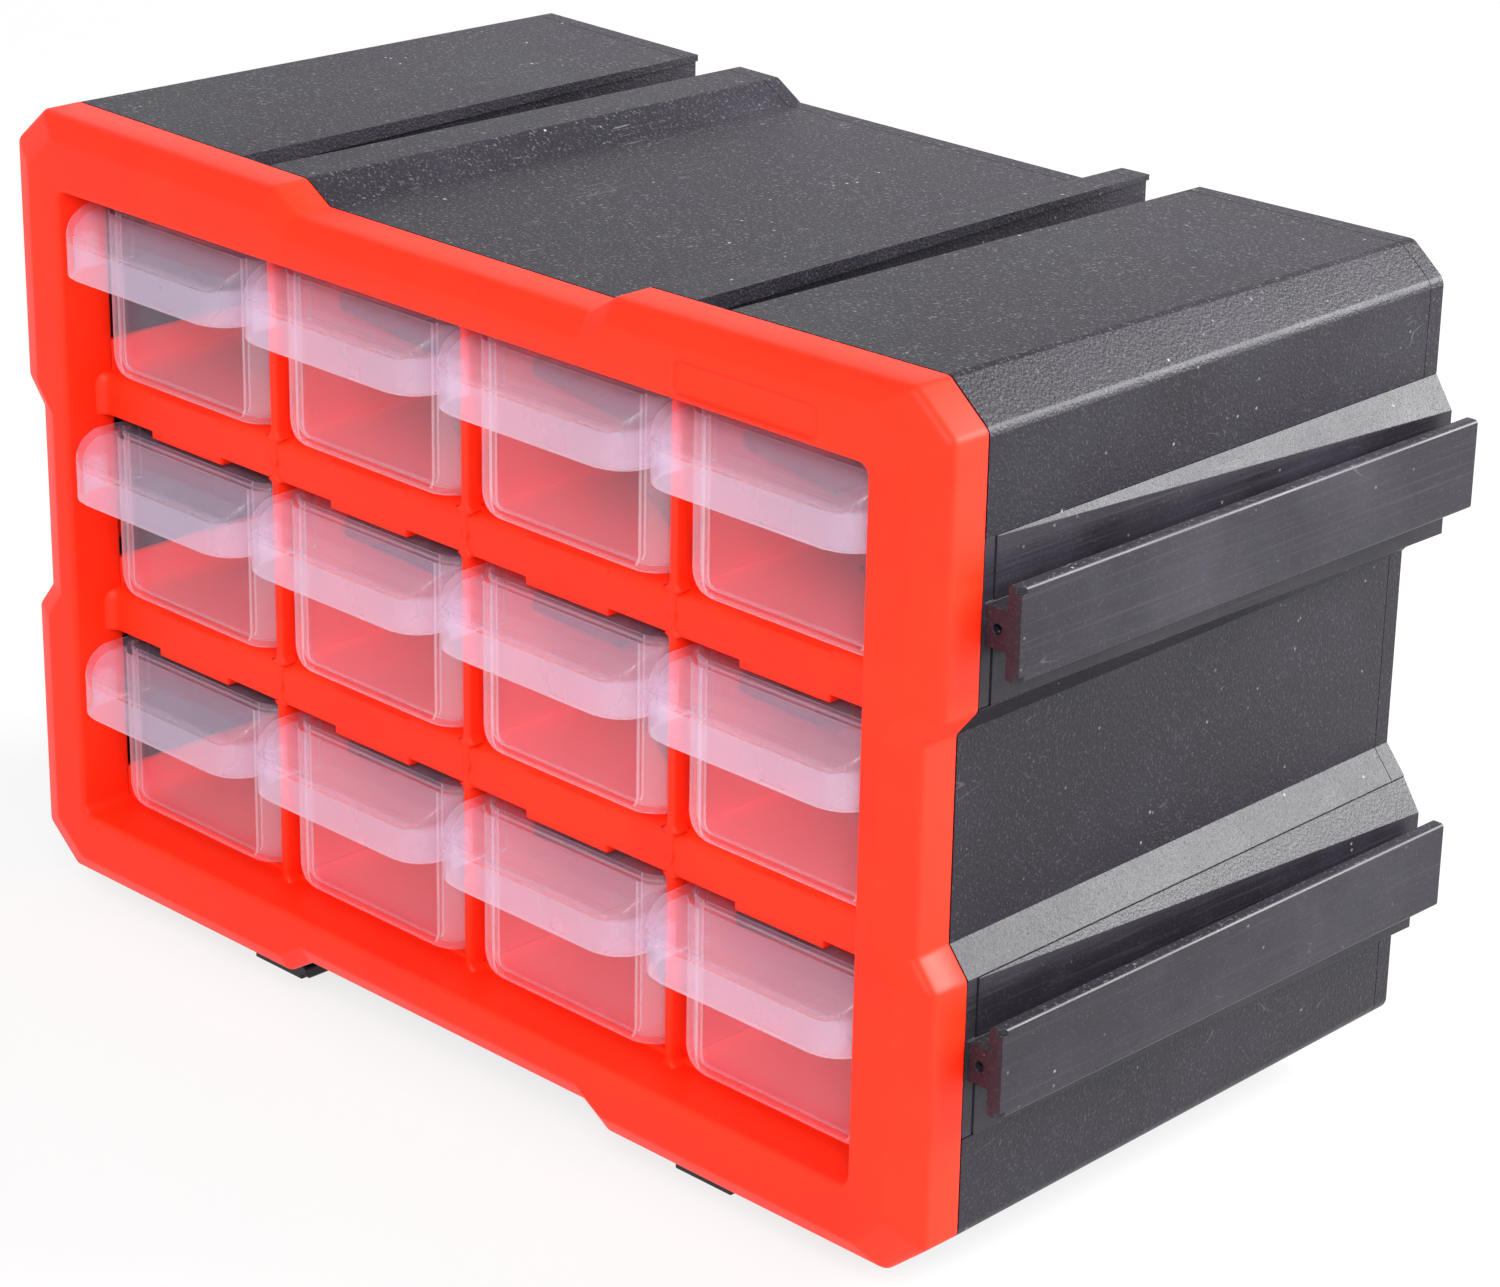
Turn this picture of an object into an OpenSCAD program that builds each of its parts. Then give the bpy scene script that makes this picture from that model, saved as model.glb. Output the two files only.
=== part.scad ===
// Stackable parts cabinet: a black tapered housing with a red front grid and twelve clear drawers.
// X runs to the right, Y to the back, Z up. The origin is under the middle of the whole cabinet.

/* [Housing] */
// Width across the side lobes at the front edge
body_w = 254; // [240:1:300]
// Height from the bottom lobes to the top corners at the front edge
body_h = 165.4; // [160:0.2:190]
// Depth of the housing behind the front grid
body_d = 127.8; // [100:0.2:180]
// How far each outer face leans in between the front and the back
draft = 2.1; // [0.5:0.1:3]
// Wall thickness
wall = 2.2; // [1.6:0.1:3]
// Width of the corner chamfers
corner_x = 9; // [6:0.5:12]
// Height of the corner chamfers
corner_z = 7.5; // [5:0.5:9]
// How far the top lobes fall from the corners towards the middle
lobe_fall = 1.1; // [0:0.1:1.5]
// Depth of the recess along the top and the bottom
top_step = 4.1; // [2:0.1:5]
// Half width where the top and bottom recess starts
top_lobe_x = 47; // [40:0.5:50]
// Depth of the recess along the sides
side_step = 4.6; // [2:0.1:5]
// Half height where the side recess starts
side_lobe_z = 25.3; // [22:0.1:26]
// Slope of the recess edges, as run along the face
step_run = 5.6; // [4:0.1:7]

/* [Rails and slots] */
// Distance of the top and bottom rails from the middle
top_rail_x = 62.5; // [60:0.5:70]
// Distance of the side rails from the middle height
side_rail_z = 40.9; // [38:0.1:46]
// How far a rail stands out of the housing
rail_out = 8; // [6:0.5:9]
// Thickness of a rail's web
web_t = 7.4; // [5:0.2:8]
// Width of a rail's flange
flange_w = 17.4; // [14:0.2:20]
// Thickness of a rail's flange
flange_t = 3; // [2:0.1:3.4]
// Height of the strip that carries a rail
strip_h = 30.8; // [26:0.2:31]
// Thickness of the strip where it is let into the housing
strip_t = 2.4; // [2:0.1:3]
// How far the strip's outer face leans out towards the back
strip_lean = 2; // [0:0.1:3]
// Radius of the locating hole in a rail's front end
rail_hole_r = 1; // [0.6:0.1:1.5]
// Depth of that hole
rail_hole_depth = 8; // [4:1:12]
// Play between a rail and the slot it slides in, on each side
slot_play = 0.5; // [0.3:0.05:0.8]
// Height of the wide part of a slot
slot_cavity = 4.4; // [4.2:0.1:5]
// How much a slot's mouth widens towards the back
slot_lead = 4.3; // [0:0.1:4.5]
// Wall around a slot's wide part
slot_wall = 1.6; // [1.2:0.1:2]

/* [Front grid] */
// Depth of the frame's straight sides
frame_side = 9; // [6:0.5:14]
// Width of the bevel at the frame's sides
bevel_w = 7; // [3:0.5:8]
// Width of the bevel along the frame's top and bottom
bevel_top = 4.5; // [2:0.5:5.5]
// Depth of that bevel
bevel_d = 3; // [1:0.5:5]
// Width of the frame beside its opening
frame_w = 16.35; // [14:0.05:24]
// Height of the frame above and below its opening
frame_h = 15.2; // [13:0.1:22]
// Thickness of the upright dividers
divider_t = 1.9; // [1.4:0.1:3]
// How far the dividers stand in front of the housing's edge
divider_front = 3; // [1:0.5:6]
// Distance between the back wall and the dividers and shelves
grid_gap = 7.6; // [2:0.1:20]
// Height of the lowest shelf above the opening's edge
sill = 0.8; // [0.3:0.1:3]
// Height of a shelf's front lip
lip_h = 9; // [6:0.5:12]
// Height of the gap between a drawer and the lip above it
lip_gap = 2.25; // [2:0.05:4]
// Height of the gap above the top drawers
head_gap = 3.4; // [2.5:0.1:6]
// Height of the curb beside the outer drawers
curb_h = 6.2; // [2:0.1:8]
// Thickness of a shelf
shelf_t = 1.6; // [1.2:0.1:2.5]
// Width of the runner strip beside each divider
runner_w = 15; // [8:0.5:20]
// Width of the tab that stops a drawer
tab_w = 22; // [10:1:30]
// Width and height of the bare plaque
plaque_w = 35.7; // [20:0.1:40]
plaque_h = 9; // [6:0.5:9]
// Depth of the bare plaque
plaque_d = 0.4; // [0.2:0.1:1]
// Width of the tongues at the frame's top and bottom, and height of those at its sides
tongue_w = 60; // [30:5:80]
tongue_h = 24; // [12:2:30]

/* [Drawers] */
// Play between a drawer and its cell, on each side
drawer_play = 0.35; // [0.3:0.05:0.6]
// Wall thickness of a drawer
drawer_wall = 1.3; // [1:0.1:2]
// Radius of a drawer's front corners, seen from above
front_r = 7; // [5:0.5:9]
// Radius of a drawer's back corners, seen from above
back_r = 4; // [3:0.5:6]
// Radius of a drawer's lower side edges
foot_r = 4.5; // [3:0.5:6]
// How far the handle stands in front of the drawer's face
handle_out = 10.7; // [8:0.1:14]
// Height of the whole handle
handle_h = 12.8; // [11:0.1:15]
// Height of the handle's upright flange
flange_h = 7.4; // [6:0.1:9]
// Width of the flat rim on top of the handle
rim_w = 2.5; // [1:0.5:5]
// Height of the lug at a drawer's back that meets the stop tab
lug_h = 1.6; // [1:0.1:1.8]

/* [Hidden] */
$fn = 64;
eps = 0.01;

rows = 3;
cols = 4;
half_w = body_w / 2;
half_h = body_h / 2;

// depths, measured from the seam between the housing and the grid
frame_front = frame_side + bevel_d;
drawer_front = divider_front + 0.2;
handle_front = drawer_front + handle_out;
back_inner = body_d - wall;
drawer_back = back_inner - 0.5;
drawer_len = drawer_front + drawer_back;

// widths and heights, measured from the middle of the housing
floor_play = 0.3;
opening_half_w = half_w - frame_w;
opening_h = body_h - 2 * frame_h;
col_pitch = (2 * opening_half_w + divider_t) / cols;
row_pitch = (opening_h - sill - head_gap + lip_h + lip_gap) / rows;
drawer_h = row_pitch - lip_h - lip_gap - floor_play;
floor_top = opening_h / 2 - head_gap - drawer_h - floor_play;
drawer_w = col_pitch - divider_t - 2 * drawer_play;
grid_depth = body_d - wall - grid_gap;
lip_front = divider_front - 0.4;
tab_drop = 0.9;
lap_y = grid_depth / 2;
lap_play = 0.05;

slot_w = web_t + 2 * slot_play;
cavity_w = flange_w + 2 * slot_play - 0.2;
slot_depth = rail_out + 0.6;

// length and depth of the blocks that cut the outside to shape
cut_run = 2.5 * body_d;
cut_depth = 30;

// the frame of the whole cabinet: centred, standing on the foot rails
shift = [-rail_out / 2, (handle_front - body_d) / 2, half_h + rail_out];

// Everything beyond one flat side of the body. a turns the side about Y, reach is its distance
// from the middle, and lean tilts it about the line at depth y0. The child is its outline.
module face_cut(a, reach, y0, lean) {
    rotate([0, -a, 0]) translate([reach, y0, 0]) rotate([0, 0, lean]) translate([0, cut_run / 2, 0])
        rotate([90, 0, 0]) linear_extrude(height = cut_run) children();
}

// A side's outline: a recess with sloping ends, start its half width, step its depth,
// fall the drop of each lobe towards the recess
module recess_line(start, run, step, reach, lobe_end, fall) {
    rise = fall > 0 ? fall * (reach - lobe_end) / (lobe_end - start) : 0;
    polygon([
        [rise, -reach], [-fall, -start], [-fall - step, run - start], [-fall - step, start - run],
        [-fall, start], [rise, reach], [cut_depth, reach], [cut_depth, -reach]
    ]);
}

// The four sides and the four corner chamfers
module side_cuts(inset, corner_inset, y0, lean_x, lean_z, lean_c) {
    wide = 2 * body_w;
    corner = sqrt(corner_x * corner_x + corner_z * corner_z);
    corner_a = atan2(corner_x, corner_z);
    corner_reach = (corner_z * (half_w - corner_x) + corner_x * half_h) / corner - corner_inset;
    z1 = side_lobe_z + inset * 0.5;
    x1 = top_lobe_x + inset * 0.5;
    for (a = [0, 180]) face_cut(a, half_w - inset, y0, lean_x)
        recess_line(z1, step_run, side_step * cos(lean_x), wide, wide, 0);
    face_cut(90, half_h - inset, y0, lean_z)
        recess_line(x1, step_run * 1.2, top_step * cos(lean_z), half_w + 20, half_w - corner_x,
                    lobe_fall * cos(lean_z));
    face_cut(270, half_h - inset, y0, lean_z)
        recess_line(x1, step_run * 1.2, top_step * cos(lean_z), wide, wide, 0);
    for (a = [corner_a, 180 - corner_a, 180 + corner_a, -corner_a])
        face_cut(a, corner_reach, y0, lean_c) translate([0, -half_h]) square([cut_depth, body_h]);
}

// The tapered body between two depths, its faces moved in by inset
module tapered(inset, y0, y1) {
    lean = atan2(draft, body_d);
    difference() {
        translate([-half_w - 3, y0, -half_h - 3]) cube([body_w + 6, y1 - y0, body_h + 6]);
        side_cuts(inset, inset, 0, lean, lean, lean * 0.92);
    }
}

// A flat outline in X and Z, run along Y from y0 to y1
module along_y(y0, y1) {
    translate([0, y1, 0]) rotate([90, 0, 0]) linear_extrude(height = y1 - y0) children();
}

// A rectangle with two or four rounded corners, from exact circles
module round_rect(x0, y0, x1, y1, r_low, r_high) {
    translate([x0, y0 + r_low]) square([x1 - x0, y1 - y0 - r_low - r_high]);
    if (r_low > 0) {
        translate([x0 + r_low, y0]) square([x1 - x0 - 2 * r_low, r_low + eps]);
        for (x = [x0 + r_low, x1 - r_low]) translate([x, y0 + r_low]) circle(r = r_low);
    }
    if (r_high > 0) {
        translate([x0 + r_high, y1 - r_high - eps]) square([x1 - x0 - 2 * r_high, r_high + eps]);
        for (x = [x0 + r_high, x1 - r_high]) translate([x, y1 - r_high]) circle(r = r_high);
    }
}

// ---------------------------------------------------------------- rails
// A rail on its strip, pointing along +X, its middle on the X axis.
// x = 0 is the housing's face at the front edge.
module rail() {
    bevel_run = 6.2;
    slope = atan2(bevel_run * sqrt(body_d * body_d + draft * draft), body_d * (draft + strip_lean));
    h = strip_h / 2 - 0.1;
    difference() {
        union() {
            difference() {
                translate([0, 0, -h]) linear_extrude(height = 2 * h) polygon([
                    [-strip_t, 0], [0, 0], [strip_lean, body_d], [-strip_t, body_d]
                ]);
                // the upper edge slopes down to the leaning face, more and more towards the back
                translate([0, 0, h]) rotate([0, slope, atan2(draft, body_d)])
                    translate([-200, -200, 0]) cube([400, 400, 50]);
            }
            translate([-strip_t + 0.4, 0.4, -web_t / 2])
                cube([strip_t - 0.4 + rail_out - flange_t / 2, body_d - 0.4, web_t]);
            along_y(0.4, body_d)
                round_rect(rail_out - flange_t, -flange_w / 2, rail_out, flange_w / 2, 0.8, 0.8);
        }
        translate([rail_out * 0.36, 0.4 - eps, 0]) rotate([-90, 0, 0])
            cylinder(r = rail_hole_r, h = rail_hole_depth + eps);
        // rounded front ends of the flange
        for (s = [-1, 1]) translate([rail_out + eps, 0.4 - eps, s * flange_w / 2])
            rotate([0, 0, 45]) cube([2, 2, 2.6], center = true);
    }
}

module side_rail(s) {
    color("#3a383d") translate([half_w, 0, s * side_rail_z]) rail();
}

module foot_rail(s) {
    color("#2b2a2e") translate([s * top_rail_x, 0, -half_h]) rotate([0, 90, 0]) rail();
}

// ---------------------------------------------------------------- housing
// The space a rail strip takes out of the housing, pointing along +X
module strip_pocket() {
    translate([-strip_t, -1, -strip_h / 2]) cube([strip_t + 3, body_d + 2, strip_h]);
}

// Backing behind a strip, where the tapered wall would be too thin
module strip_back() {
    z1 = strip_h / 2 + 1.6;
    z2 = strip_h / 2 - 1.4;
    translate([0, 0, -z1]) linear_extrude(height = 2 * z1)
        polygon([[-5.4, 0], [-1.6, 0], [-3.15 - draft / 2, body_d], [-5.4, body_d]]);
    translate([0, 0, -z2]) linear_extrude(height = 2 * z2)
        polygon([[-5.4, 0], [-1.3, 0], [-draft - 0.3, body_d], [-5.4, body_d]]);
}

// A slot's block and its opening, pointing along +Z with the mouth at z = 0
module slot_block() {
    w = cavity_w / 2 + slot_wall;
    low = -slot_depth - slot_wall;
    translate([0, 0, low]) rotate([90, 0, 90]) translate([0, 0, -w]) linear_extrude(height = 2 * w)
        polygon([[0, 0], [body_d, 0], [body_d, -draft - 1.3 - low], [0, -1.6 - low]]);
}
module slot_space() {
    m = slot_w / 2;
    translate([-cavity_w / 2, -3, -slot_depth]) cube([cavity_w, body_d + 6, slot_cavity]);
    translate([0, 0, -slot_depth + 1]) linear_extrude(height = slot_depth + 3)
        polygon([[m, -3], [m, body_d + 3], [-m - slot_lead, body_d + 3], [-m, 0], [-m, -3]]);
}

module at_slots() {
    for (s = [-1, 1]) {
        translate([s * top_rail_x, 0, half_h]) children();
        translate([-half_w, 0, s * side_rail_z]) rotate([0, -90, 0]) children();
    }
}
module at_strips() {
    for (s = [-1, 1]) {
        translate([half_w, 0, s * side_rail_z]) children();
        translate([s * top_rail_x, 0, -half_h]) rotate([0, 90, 0]) children();
    }
}

module housing() {
    color("#4a474e") difference() {
        union() {
            difference() {
                tapered(0, 0, body_d);
                tapered(wall, -3, back_inner);
            }
            at_slots() slot_block();
            at_strips() strip_back();
        }
        at_slots() slot_space();
        at_strips() strip_pocket();
    }
}

// ---------------------------------------------------------------- front grid
module frame_ring() {
    difference() {
        translate([-half_w - 3, -frame_front, -half_h - 3]) cube([body_w + 6, frame_front, body_h + 6]);
        side_cuts(0, 0, 0, 0, 0, 0);
        side_cuts(-0.15, -0.3, -frame_side, -atan2(bevel_w, bevel_d), -atan2(bevel_top, bevel_d),
                  -atan2((bevel_w + bevel_top) / 2 + 1.6, bevel_d));
        along_y(-frame_front - 1, 1)
            round_rect(-opening_half_w, -opening_h / 2, opening_half_w, opening_h / 2, 2, 2);
        along_y(-frame_front - 1, -frame_front + plaque_d)
            translate([opening_half_w - 10.35 - plaque_w, opening_h / 2 + 0.6]) square([plaque_w, plaque_h]);
    }
}

// Tongues that locate the grid in the housing's mouth
module tongues() {
    gap = 0.3;
    top_in = half_h - lobe_fall - top_step - wall - gap;
    bottom_in = half_h - top_step - wall - gap;
    side_in = half_w - side_step - wall - gap;
    t = 1.8;
    reach = 8;
    translate([-tongue_w / 2, -1, top_in - t]) cube([tongue_w, reach, t]);
    translate([-tongue_w / 2, -1, -bottom_in]) cube([tongue_w, reach, t]);
    for (s = [-1, 1]) translate([s * (side_in - t / 2) - t / 2, -1, -tongue_h / 2])
        cube([t, reach, tongue_h]);
}

// An upright divider. It is notched from the back where a shelf crosses it.
module divider(i) {
    x = (i - cols / 2) * col_pitch;
    win_low = 7;
    win_high = 9;
    low = floor_top - (rows - 1) * row_pitch;
    translate([x, 0, 0]) difference() {
        union() {
            translate([-divider_t / 2, -divider_front, -opening_h / 2])
                cube([divider_t, divider_front, opening_h]);
            translate([-divider_t / 2, -1, low]) cube([divider_t, grid_depth + 1, opening_h / 2 - low]);
            translate([-divider_t / 2, 0, low]) cube([divider_t, grid_depth, opening_h / 2 + 1 - low]);
        }
        // a slanted window beside each drawer
        for (r = [0:rows - 1]) translate([-divider_t, 0, floor_top - r * row_pitch])
            rotate([90, 0, 90]) linear_extrude(height = 2 * divider_t) polygon([
                [14, win_low + 16], [40, win_low], [grid_depth - 12, win_low],
                [grid_depth - 12, drawer_h - win_high], [14, drawer_h - win_high]
            ]);
        for (r = [0:rows - 2])
            translate([-divider_t, lap_y, floor_top - r * row_pitch - shelf_t - lap_play])
                cube([2 * divider_t, grid_depth, shelf_t + 2 * lap_play]);
    }
}

// The level plate under one row, with a window between the runner strips of each cell
module shelf_plate(r) {
    half = opening_half_w + 1.8;
    difference() {
        translate([-half, 0, floor_top - r * row_pitch - shelf_t]) cube([2 * half, grid_depth, shelf_t]);
        for (c = [0:cols - 1]) translate([(c - (cols - 1) / 2) * col_pitch, 0, floor_top - r * row_pitch - 3])
            linear_extrude(height = 6) polygon([
                [runner_w - col_pitch / 2, 30], [col_pitch / 2 - runner_w, 14],
                [col_pitch / 2 - runner_w, grid_depth - 12], [runner_w - col_pitch / 2, grid_depth - 12]
            ]);
    }
    // curbs at both ends keep the outer drawers in line
    for (s = [-1, 1]) translate([s * (opening_half_w + 1) - 0.9, 0, floor_top - r * row_pitch - shelf_t])
        cube([1.8, grid_depth, shelf_t + curb_h]);
}

// Front lip of a shelf, with its rounded upper edge
module shelf_lip(r) {
    top = floor_top - r * row_pitch;
    round_r = 3;
    translate([-opening_half_w, 0, top]) rotate([90, 0, 90])
        linear_extrude(height = 2 * opening_half_w) difference() {
            union() {
                translate([-lip_front, -lip_h]) square([1.9, lip_h - round_r]);
                translate([round_r - lip_front, -round_r]) circle(r = round_r);
                translate([round_r - lip_front, -shelf_t]) square([3, shelf_t]);
            }
            translate([1.9 - lip_front, -2 * round_r - 1]) square([3 * round_r, 2 * round_r + 1 - shelf_t]);
        }
}

// Tabs behind the edge above each drawer of one row
module stop_tabs(r, height) {
    for (c = [0:cols - 1])
        translate([(c - (cols - 1) / 2) * col_pitch - tab_w / 2, -lip_front, drawer_top(r) + tab_drop])
            cube([tab_w, lip_front + 1.4, height]);
}
function drawer_bottom(r) = floor_top + floor_play - r * row_pitch;
function drawer_top(r) = drawer_bottom(r) + drawer_h;

// A shelf, slotted from the front where the dividers cross it. The lowest has no lip or tabs.
module shelf(r) {
    color("#ff3b10") difference() {
        union() {
            shelf_plate(r);
            if (r < rows - 1) {
                shelf_lip(r);
                stop_tabs(r + 1, lip_gap + lip_h - tab_drop - 0.8);
            }
        }
        if (r < rows - 1) for (i = [1:cols - 1])
            translate([(i - cols / 2) * col_pitch - divider_t / 2 - lap_play, -20, floor_top - r * row_pitch - 20])
                cube([divider_t + 2 * lap_play, lap_y + 20, 40]);
    }
}

module front_frame() {
    color("#ff3b10") {
        frame_ring();
        tongues();
        stop_tabs(0, head_gap - tab_drop + 3.5);
    }
}

// ---------------------------------------------------------------- drawers
// Box of a drawer, or its hollow when t is the wall thickness
module drawer_block(t, top) {
    w = drawer_w / 2 - t;
    intersection() {
        translate([0, 0, t]) linear_extrude(height = top - t)
            round_rect(-w, t - drawer_front, w, drawer_back - t, front_r - t, back_r - t);
        along_y(-handle_front, drawer_back)
            round_rect(-w, t, w, top + 10, foot_r - t, 0);
    }
}

// Hood of the handle, or its hollow when t is the wall thickness
module hood_block(t, drop) {
    w = drawer_w / 2 - t;
    f = -handle_front + t;
    top = drawer_h - t;
    crease = drawer_h - handle_h + flange_h - t * 0.7;
    rim = -drawer_front - rim_w;
    bulge = 0.55;
    intersection() {
        linear_extrude(height = drawer_h + 1) round_rect(-w, f, w, front_r - drawer_front, front_r - t, 0);
        translate([-w - 1, 0, 0]) rotate([90, 0, 90]) linear_extrude(height = 2 * w + 2) polygon([
            [f, drawer_h - handle_h - drop], [f, crease],
            for (k = [1:7]) let (u = k / 8)
                [f + (rim - f) * u, crease + (top - crease) * u + bulge * sin(180 * u)],
            [rim, top], [front_r - drawer_front, top], [front_r - drawer_front, drawer_h - handle_h - drop]
        ]);
    }
}

module drawer(r, c) {
    color("#f3b9c4") translate([(c - (cols + 1) / 2) * col_pitch, 0, drawer_bottom(r - 1)]) difference() {
        union() {
            drawer_block(0, drawer_h);
            difference() {
                hood_block(0, 0);
                hood_block(drawer_wall, 1);
            }
            translate([-6, drawer_back - 2, drawer_h - 3]) cube([12, 2, lug_h + 3]);
        }
        drawer_block(drawer_wall, drawer_h + 5);
    }
}

// ---------------------------------------------------------------- pieces
module placed() {
    translate(shift) children();
}

placed() housing();
placed() front_frame();
placed() color("#ff3b10") divider(1);  // divider_1
placed() color("#ff3b10") divider(2);  // divider_2
placed() color("#ff3b10") divider(3);  // divider_3
placed() shelf(0);  // shelf_1
placed() shelf(1);  // shelf_2
placed() shelf(2);  // shelf_3
placed() side_rail(1);  // side_rail_upper
placed() side_rail(-1);  // side_rail_lower
placed() foot_rail(-1);  // foot_rail_left
placed() foot_rail(1);  // foot_rail_right
placed() drawer(1, 1);  // drawer_r1c1
placed() drawer(1, 2);  // drawer_r1c2
placed() drawer(1, 3);  // drawer_r1c3
placed() drawer(1, 4);  // drawer_r1c4
placed() drawer(2, 1);  // drawer_r2c1
placed() drawer(2, 2);  // drawer_r2c2
placed() drawer(2, 3);  // drawer_r2c3
placed() drawer(2, 4);  // drawer_r2c4
placed() drawer(3, 1);  // drawer_r3c1
placed() drawer(3, 2);  // drawer_r3c2
placed() drawer(3, 3);  // drawer_r3c3
placed() drawer(3, 4);  // drawer_r3c4
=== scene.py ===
import math

import bmesh
import bpy
import numpy as np
from mathutils import Matrix, Vector, geometry

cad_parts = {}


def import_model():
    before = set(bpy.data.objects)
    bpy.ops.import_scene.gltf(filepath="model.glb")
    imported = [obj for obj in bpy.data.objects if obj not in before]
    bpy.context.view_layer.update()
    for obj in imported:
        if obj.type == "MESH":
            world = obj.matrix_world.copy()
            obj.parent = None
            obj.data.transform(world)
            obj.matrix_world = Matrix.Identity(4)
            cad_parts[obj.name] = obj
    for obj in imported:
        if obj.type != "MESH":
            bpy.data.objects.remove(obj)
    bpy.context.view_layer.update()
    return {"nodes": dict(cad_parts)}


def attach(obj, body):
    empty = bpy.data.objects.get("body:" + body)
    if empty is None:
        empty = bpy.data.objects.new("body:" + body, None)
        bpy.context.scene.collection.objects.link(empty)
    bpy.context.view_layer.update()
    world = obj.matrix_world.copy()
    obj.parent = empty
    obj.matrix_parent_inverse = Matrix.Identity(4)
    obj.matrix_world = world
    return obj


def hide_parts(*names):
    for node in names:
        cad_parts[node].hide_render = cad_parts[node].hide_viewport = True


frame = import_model()

# Sizes are in millimetres. They are measured from the seam between the red frame and the housing (y),
# from the middle of the width (x) and from mid height (z).

# housing
HALF_W, HALF_H, DEPTH = 127.0, 82.7, 127.8
DRAFT, WALL = 2.1, 2.2
CHAMFER_W, CHAMFER_H = 9.0, 7.5
RECESS_SIDE, RECESS_TOP, CROWN = 4.6, 4.1, 1.1
GROOVE_Y, GROOVE_W = 123.7, 0.18

# rails, each with the side that it stands on
RAIL_OUT, RAIL_MID, RAIL_HALF = 8.0, 40.9, 15.8
RAILS = (("side_rail_upper", 1), ("side_rail_lower", -1), ("foot_rail_left", -1), ("foot_rail_right", 1))

# red frame, shelves and dividers; widths and heights of the opening are halves
FRAME_DEPTH, FIT = 12.0, 0.3
OPEN_W, OPEN_H = 110.65, 67.5
COL, ROW = 55.8, 47.35
FLOOR_TOP = 28.0
SHELF_T, SHELF_BACK = 1.6, 118.0
LIP_H, LIP_FRONT = 9.0, 2.6

# drawers; the width is a half
DRAWER_W, DRAWER_H = 26.6, 35.8
DRAWER_FRONT, DRAWER_BACK = -3.2, 125.1
HANDLE_FRONT = 13.9
FLANGE_H, CREASE_RISE = 12.8, 7.4

# moves the object's middle to x 0 and y 0, and its lowest point to z 0
SHIFT = np.array((-RAIL_OUT / 2, (HANDLE_FRONT - DEPTH) / 2, HALF_H + RAIL_OUT))


def to_row(v):
    """Body millimetres to the row frame in metres."""
    return (np.asarray(v, float).reshape(-1, 3) + SHIFT) / 1000


# ------------------------------------------------------------------ mesh helpers
def make_mesh(name, verts, faces):
    """A mesh in the row frame from points in body millimetres."""
    me = bpy.data.meshes.new(name)
    me.from_pydata([tuple(p) for p in to_row(verts)], [], [tuple(f) for f in faces])
    bm = bmesh.new()
    bm.from_mesh(me)
    bmesh.ops.remove_doubles(bm, verts=bm.verts, dist=1e-7)
    bmesh.ops.recalc_face_normals(bm, faces=bm.faces)
    bm.to_mesh(me)
    bm.free()
    return me


def add_object(name, me):
    ob = bpy.data.objects.new(name, me)
    bpy.context.scene.collection.objects.link(ob)
    return ob


def fillet(points, radius, seg):
    """A 2D outline with rounded corners; radius is one number or one per corner, seg the steps in each."""
    out = []
    n = len(points)
    for i in range(n):
        p = np.array(points[i], float)
        a = np.array(points[i - 1], float) - p
        b = np.array(points[(i + 1) % n], float) - p
        la, lb = np.linalg.norm(a), np.linalg.norm(b)
        a, b = a / la, b / lb
        r = radius[i] if isinstance(radius, (list, tuple)) else radius
        half = math.acos(max(-1.0, min(1.0, float(a @ b)))) / 2
        if r <= 0:
            out.append(p)
            continue
        t = min(r / math.tan(half), 0.46 * la, 0.46 * lb)
        r = t * math.tan(half)
        mid = (a + b) / np.linalg.norm(a + b)
        centre = p + mid * (r / math.sin(half))
        s, e = p + a * t - centre, p + b * t - centre
        turn = math.pi - 2 * half
        for k in range(seg + 1):
            w = k / seg
            q = (math.sin((1 - w) * turn) * s + math.sin(w * turn) * e) / math.sin(turn)
            out.append(centre + q)
    return out


def loft(loops, cap=(True, True)):
    """Quads between equal loops of 3D points, with flat ends."""
    n = len(loops[0])
    verts = [tuple(p) for loop in loops for p in loop]
    faces = [
        (k * n + i, (k + 1) * n + i, (k + 1) * n + (i + 1) % n, k * n + (i + 1) % n)
        for k in range(len(loops) - 1)
        for i in range(n)
    ]
    if cap[0]:
        faces.append(tuple(range(n)))
    if cap[1]:
        faces.append(tuple(range((len(loops) - 1) * n, len(loops) * n))[::-1])
    return verts, faces


def place(axis, p, d):
    """A 2D point and a depth along axis, as a 3D point."""
    if axis == "y":
        return (p[0], d, p[1])
    if axis == "x":
        return (d, p[0], p[1])
    return (p[0], p[1], d)


def prism(axis, outline, lo, hi, holes=()):
    """A flat outline with holes, run along an axis."""
    rings = [list(outline)] + [list(h) for h in holes]
    flat = [p for ring in rings for p in ring]
    tris = geometry.tessellate_polygon([[Vector((p[0], p[1], 0)) for p in ring] for ring in rings])
    n = len(flat)
    verts = [place(axis, p, lo) for p in flat] + [place(axis, p, hi) for p in flat]
    faces = []
    if holes:
        faces += [tuple(t) for t in tris] + [tuple(i + n for i in t[::-1]) for t in tris]
    else:
        faces += [tuple(range(n)), tuple(range(n, 2 * n))[::-1]]
    start = 0
    for ring in rings:
        m = len(ring)
        faces += [
            (start + i, start + (i + 1) % m, n + start + (i + 1) % m, n + start + i) for i in range(m)
        ]
        start += m
    return verts, faces


def merge(parts):
    """Several pairs of points and faces as one."""
    verts, faces = [], []
    for v, f in parts:
        base = len(verts)
        verts += [tuple(p) for p in v]
        faces += [tuple(i + base for i in face) for face in f]
    return verts, faces


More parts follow.
